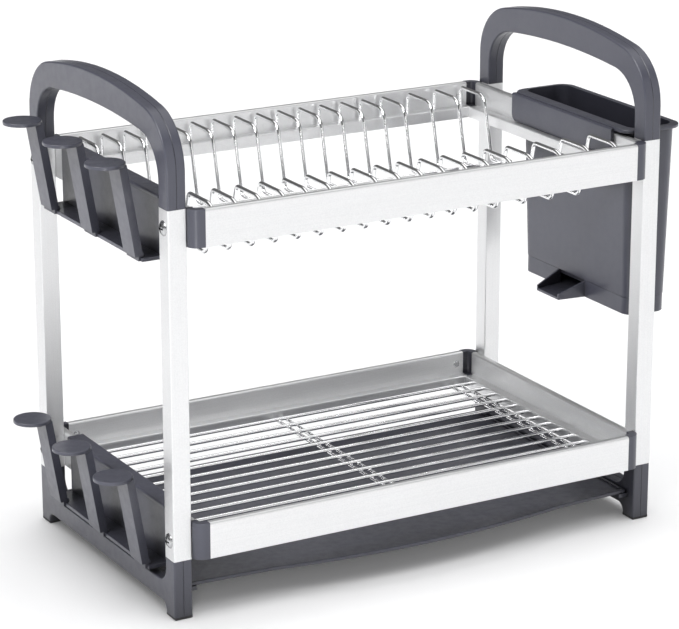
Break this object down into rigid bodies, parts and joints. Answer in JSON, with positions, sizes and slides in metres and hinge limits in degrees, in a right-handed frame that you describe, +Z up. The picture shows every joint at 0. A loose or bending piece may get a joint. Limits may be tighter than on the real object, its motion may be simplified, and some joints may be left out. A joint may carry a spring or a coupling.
{
  "type": "dish drying rack",
  "caption": "Two-tier dish drying rack with plate dividers, wire shelf, slide-out drip tray, hook-on cup holders and a cutlery caddy.",
  "frame": {"origin": "on the counter, at the middle of the four posts, 3.4 mm from the middle of the whole outline", "axes": "+X along the rack towards the cutlery caddy, +Y from the drip tray's bowed front to the back, +Z up"},
  "size_m": [0.5057, 0.2578, 0.395],
  "materials": {
    "grey_plastic": "fine matt moulded, slate grey",
    "satin_aluminium": "satin anodised, faintly brushed along its length",
    "chromed_wire": "polished",
    "bright_fastener": "bright",
    "black_rubber": "matt"
  },
  "bodies": {
    "rack": {"base_left_inner": "grey_plastic", "base_left_outer": "grey_plastic", "base_right_inner": "grey_plastic", "base_right_outer": "grey_plastic", "corner_rivets": "bright_fastener", "divider_tie_rods": "chromed_wire", "divider_wire_01": "chromed_wire", "divider_wire_02": "chromed_wire", "divider_wire_03": "chromed_wire", "divider_wire_04": "chromed_wire", "divider_wire_05": "chromed_wire", "divider_wire_06": "chromed_wire", "divider_wire_07": "chromed_wire", "divider_wire_08": "chromed_wire", "divider_wire_09": "chromed_wire", "divider_wire_10": "chromed_wire", "divider_wire_11": "chromed_wire", "divider_wire_12": "chromed_wire", "divider_wire_13": "chromed_wire", "divider_wire_14": "chromed_wire", "divider_wire_15": "chromed_wire", "divider_wire_16": "chromed_wire", "divider_wire_17": "chromed_wire", "divider_wire_18": "chromed_wire", "foot_pad_back_left": "black_rubber", "foot_pad_back_right": "black_rubber", "foot_pad_front_left": "black_rubber", "foot_pad_front_right": "black_rubber", "handle_left_inner": "grey_plastic", "handle_left_outer": "grey_plastic", "handle_right_inner": "grey_plastic", "handle_right_outer": "grey_plastic", "lower_back_rail": "satin_aluminium", "lower_corner_back_left": "grey_plastic", "lower_corner_back_right": "grey_plastic", "lower_corner_front_left": "grey_plastic", "lower_corner_front_right": "grey_plastic", "lower_front_rail": "satin_aluminium", "lower_left_rail": "satin_aluminium", "lower_right_rail": "satin_aluminium", "post_back_left": "satin_aluminium", "post_back_right": "satin_aluminium", "post_front_left": "satin_aluminium", "post_front_right": "satin_aluminium", "post_screws": "bright_fastener", "shelf_cross_rods": "chromed_wire", "shelf_rods": "chromed_wire", "upper_back_rail": "satin_aluminium", "upper_corner_back_left": "grey_plastic", "upper_corner_back_right": "grey_plastic", "upper_corner_front_left": "grey_plastic", "upper_corner_front_right": "grey_plastic", "upper_front_rail": "satin_aluminium", "upper_left_rail": "satin_aluminium", "upper_right_rail": "satin_aluminium"},
    "drip_tray": {"drip_tray": "grey_plastic"},
    "upper_cup_holder": {"upper_cup_holder": "grey_plastic"},
    "lower_cup_holder": {"lower_cup_holder": "grey_plastic"},
    "caddy": {"cutlery_caddy": "grey_plastic"},
    "water_cup": {"caddy_water_cup": "grey_plastic"}
  },
  "joints": [
    {"name": "tray_slide", "type": "slide", "parent": "rack", "child": "drip_tray", "axis": [0, -1, 0], "range_m": [0, 0.18]},
    {"name": "upper_holder_lift", "type": "slide", "parent": "rack", "child": "upper_cup_holder", "axis": [0, 0, 1], "range_m": [0, 0.012]},
    {"name": "lower_holder_lift", "type": "slide", "parent": "rack", "child": "lower_cup_holder", "axis": [0, 0, 1], "range_m": [0, 0.012]},
    {"name": "caddy_lift", "type": "slide", "parent": "rack", "child": "caddy", "axis": [0, 0.1961, 0.9806], "range_m": [0, 0.0255]},
    {"name": "water_cup_drop", "type": "slide", "parent": "caddy", "child": "water_cup", "axis": [0, 0, -1], "range_m": [0, 0.02]}
  ]
}
